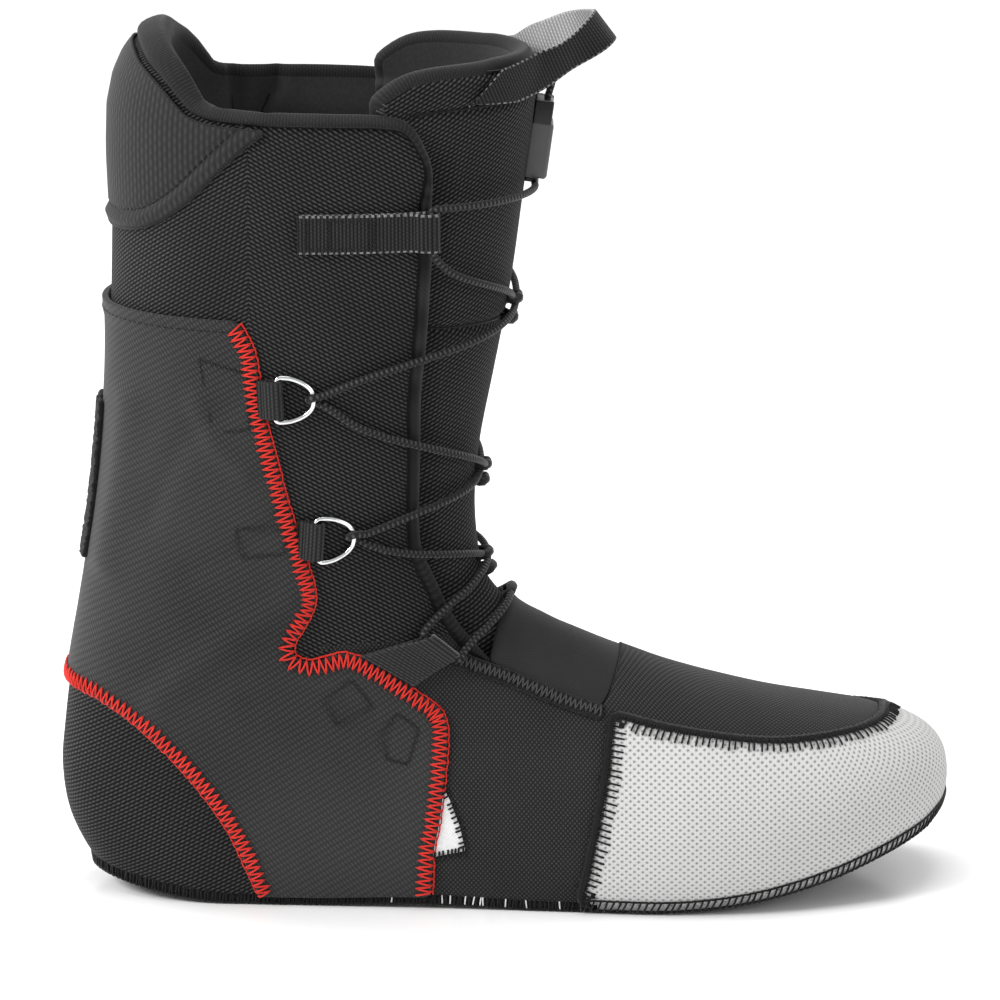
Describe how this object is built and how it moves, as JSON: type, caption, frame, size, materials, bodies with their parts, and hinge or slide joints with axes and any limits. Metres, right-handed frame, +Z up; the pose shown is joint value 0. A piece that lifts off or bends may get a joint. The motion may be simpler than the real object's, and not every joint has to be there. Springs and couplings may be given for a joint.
{
  "type": "snowboard boot liner",
  "caption": "Right-foot padded inner boot of a snowboard boot, with a hollow knit shaft, heel harness, lace rings, tall tongue, pull loop and pale toe cap.",
  "frame": {"origin": "on the floor at the middle of the width, under the ankle, 63 mm ahead of the back of the heel", "axes": "+X towards the toe, +Y towards the medial side, +Z up the shaft"},
  "size_m": [0.2938, 0.1066, 0.2933],
  "materials": {
    "knit": "ribbed knit cloth",
    "tongue_cloth": "smooth padded cloth",
    "softshell": "smooth softshell cloth",
    "harness_cloth": "fine twill",
    "cuff_cloth": "soft brushed knit",
    "pique": "pale pique mesh",
    "sole_board": "felted board",
    "insole_foam": "cloth on foam",
    "webbing": "woven tape",
    "lace_cord": "braided cord",
    "ring_steel": "polished",
    "lock_plastic": "satin"
  },
  "bodies": {
    "root": {"cord_lock": "lock_plastic", "cuff_panel": "cuff_cloth", "d_ring_lower_lateral": "ring_steel", "d_ring_lower_medial": "ring_steel", "d_ring_upper_lateral": "ring_steel", "d_ring_upper_medial": "ring_steel", "heel_harness": "harness_cloth", "heel_tab": "webbing", "insole": "insole_foam", "instep_panel": "softshell", "lace_bar": "lace_cord", "lace_cross_high": "lace_cord", "lace_cross_low": "lace_cord", "lace_cross_middle": "lace_cord", "lace_strap_lateral": "webbing", "lace_strap_medial": "webbing", "lace_top": "lace_cord", "lock_cord": "lace_cord", "lower_loop_lateral": "webbing", "lower_loop_medial": "webbing", "pull_loop": "webbing", "ring_tab_lower_lateral": "webbing", "ring_tab_lower_medial": "webbing", "ring_tab_upper_lateral": "webbing", "ring_tab_upper_medial": "webbing", "sole": "sole_board", "toe_cap": "pique", "tongue": "tongue_cloth", "upper": "knit"}
  },
  "joints": []
}
